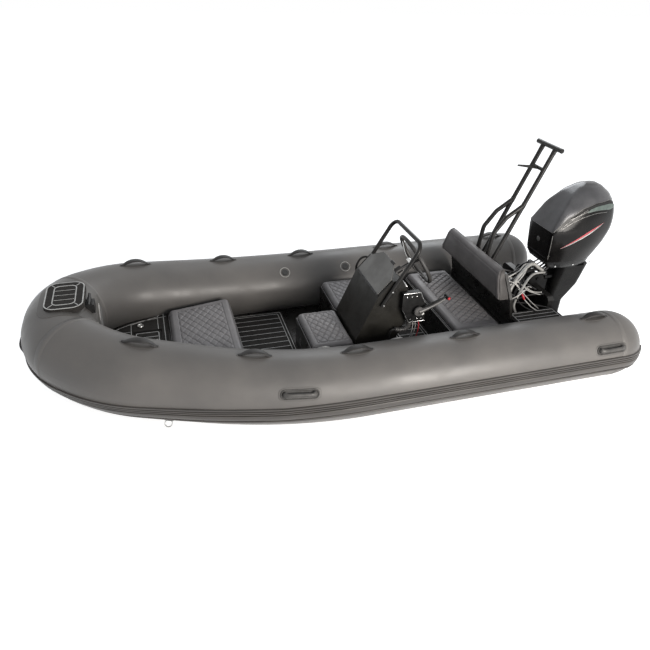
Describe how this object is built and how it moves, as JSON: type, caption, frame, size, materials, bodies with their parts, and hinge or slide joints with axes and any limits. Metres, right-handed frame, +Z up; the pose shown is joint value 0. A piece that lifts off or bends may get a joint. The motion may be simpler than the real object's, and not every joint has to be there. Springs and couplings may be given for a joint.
{
  "type": "inflatable boat with rigid hull and outboard engine",
  "caption": "Open inflatable boat on a rigid V hull, with a helm console, cushioned lockers, stern seat, tow pole and an outboard engine that tilts and steers.",
  "frame": {"origin": "on the waterline, on the centre plane, amidships", "axes": "+X to the bow, +Y to port, +Z up"},
  "size_m": [4.3549, 1.9226, 2.066],
  "materials": {
    "tube_fabric": "satin coated fabric",
    "strake_rubber": "ribbed satin rubber",
    "strap_rubber": "moulded matt rubber",
    "valve_plastic": "pale ring with dark cap",
    "stainless": "polished stainless steel",
    "eva_foam": "brushed foam mat with white caulk lines",
    "fitting_black": "moulded black plastic",
    "hull_gelcoat": "dark painted aluminium hull",
    "deck_gelcoat": "dark gelcoat",
    "seat_vinyl": "quilted grey-brown vinyl",
    "console_moulding": "satin black moulding",
    "smoked_acrylic": "smoked acrylic sheet",
    "black_tube": "satin black powder coat",
    "wheel_grip": "black grip on polished spokes",
    "engine_paint": "satin black engine paint",
    "cowl_gloss": "gloss black with grey metallic top",
    "engine_metal": "plain block"
  },
  "bodies": {
    "boat": {"tube_port": "tube_fabric", "tube_starboard": "tube_fabric", "shoulder_port": "tube_fabric", "shoulder_starboard": "tube_fabric", "tube_nose": "tube_fabric", "rub_strake": "strake_rubber", "grab_straps": "strap_rubber", "lifting_grips": "strap_rubber", "valves": "valve_plastic", "nose_grip": "strap_rubber", "tow_rings": "stainless", "bow_step": "eva_foam", "bow_cleat": "fitting_black", "hull": "hull_gelcoat", "deck": "deck_gelcoat", "floor_pads": "eva_foam", "bow_platform": "deck_gelcoat", "transom": "deck_gelcoat", "stern_side_decks": "deck_gelcoat", "bow_locker": "deck_gelcoat", "console": "console_moulding", "windscreen": "smoked_acrylic", "console_rail": "black_tube", "helm_shaft": "fitting_black", "instrument_panel": "fitting_black", "throttle_control": "fitting_black", "backrest_panel": "deck_gelcoat", "backrest_pad": "seat_vinyl", "tow_pole": "black_tube", "clamp_bracket": "engine_paint", "console_seat_box": "deck_gelcoat", "side_locker_box": "deck_gelcoat", "stern_seat_box": "deck_gelcoat"},
    "anchor_hatch_lid": {"anchor_hatch": "eva_foam"},
    "bow_lid": {"bow_locker_lid": "deck_gelcoat", "bow_cushion": "seat_vinyl"},
    "helm_seat_lid": {"console_seat_lid": "deck_gelcoat", "console_seat_cushion": "seat_vinyl"},
    "side_lid": {"side_locker_lid": "deck_gelcoat", "side_locker_cushion": "seat_vinyl"},
    "stern_lid": {"stern_seat_lid": "deck_gelcoat", "stern_seat_cushion": "seat_vinyl"},
    "helm_wheel": {"steering_wheel": "wheel_grip"},
    "engine_swivel": {"swivel_bracket": "engine_paint"},
    "engine": {"steering_yoke": "engine_paint", "drive_leg": "engine_paint", "lower_cowl": "engine_paint", "cowl": "cowl_gloss", "powerhead": "engine_metal", "gearcase": "engine_paint"},
    "prop": {"propeller": "engine_paint"}
  },
  "joints": [
    {"name": "bow_locker_hinge", "type": "hinge", "parent": "boat", "child": "bow_lid", "pos_m": [1.2, 0, 0.2927], "axis": [0, 1, 0], "range_deg": [0, 90]},
    {"name": "anchor_hatch_hinge", "type": "hinge", "parent": "boat", "child": "anchor_hatch_lid", "pos_m": [1.442, 0, 0.285], "axis": [0, 1, 0], "range_deg": [0, 95]},
    {"name": "helm_seat_hinge", "type": "hinge", "parent": "boat", "child": "helm_seat_lid", "pos_m": [0.305, 0.1925, 0.2927], "axis": [0, 1, 0], "range_deg": [0, 90]},
    {"name": "side_locker_hinge", "type": "hinge", "parent": "boat", "child": "side_lid", "pos_m": [-0.005, -0.2795, 0.2927], "axis": [0, 1, 0], "range_deg": [0, 90]},
    {"name": "stern_seat_hinge", "type": "hinge", "parent": "boat", "child": "stern_lid", "pos_m": [-1.108, 0, 0.2927], "axis": [0, -1, 0], "range_deg": [0, 58]},
    {"name": "outboard_tilt", "type": "hinge", "parent": "boat", "child": "engine_swivel", "pos_m": [-1.602, 0, 0.482], "axis": [0, 1, 0], "range_deg": [0, 28]},
    {"name": "outboard_steer", "type": "hinge", "parent": "engine_swivel", "child": "engine", "pos_m": [-1.742, 0, 0.2], "axis": [0, 0, 1], "range_deg": [-30, 30]},
    {"name": "propeller_spin", "type": "hinge", "parent": "engine", "child": "prop", "pos_m": [-2.13, 0, -0.385], "axis": [1, 0, 0], "continuous": true},
    {"name": "wheel_turn", "type": "hinge", "parent": "boat", "child": "helm_wheel", "pos_m": [-0.485, 0.19, 0.81], "axis": [-0.866, 0, 0.5], "range_deg": [-540, 540]}
  ],
  "couplings": [
    {"joint": "wheel_turn", "follows": "outboard_steer", "ratio": -18}
  ]
}
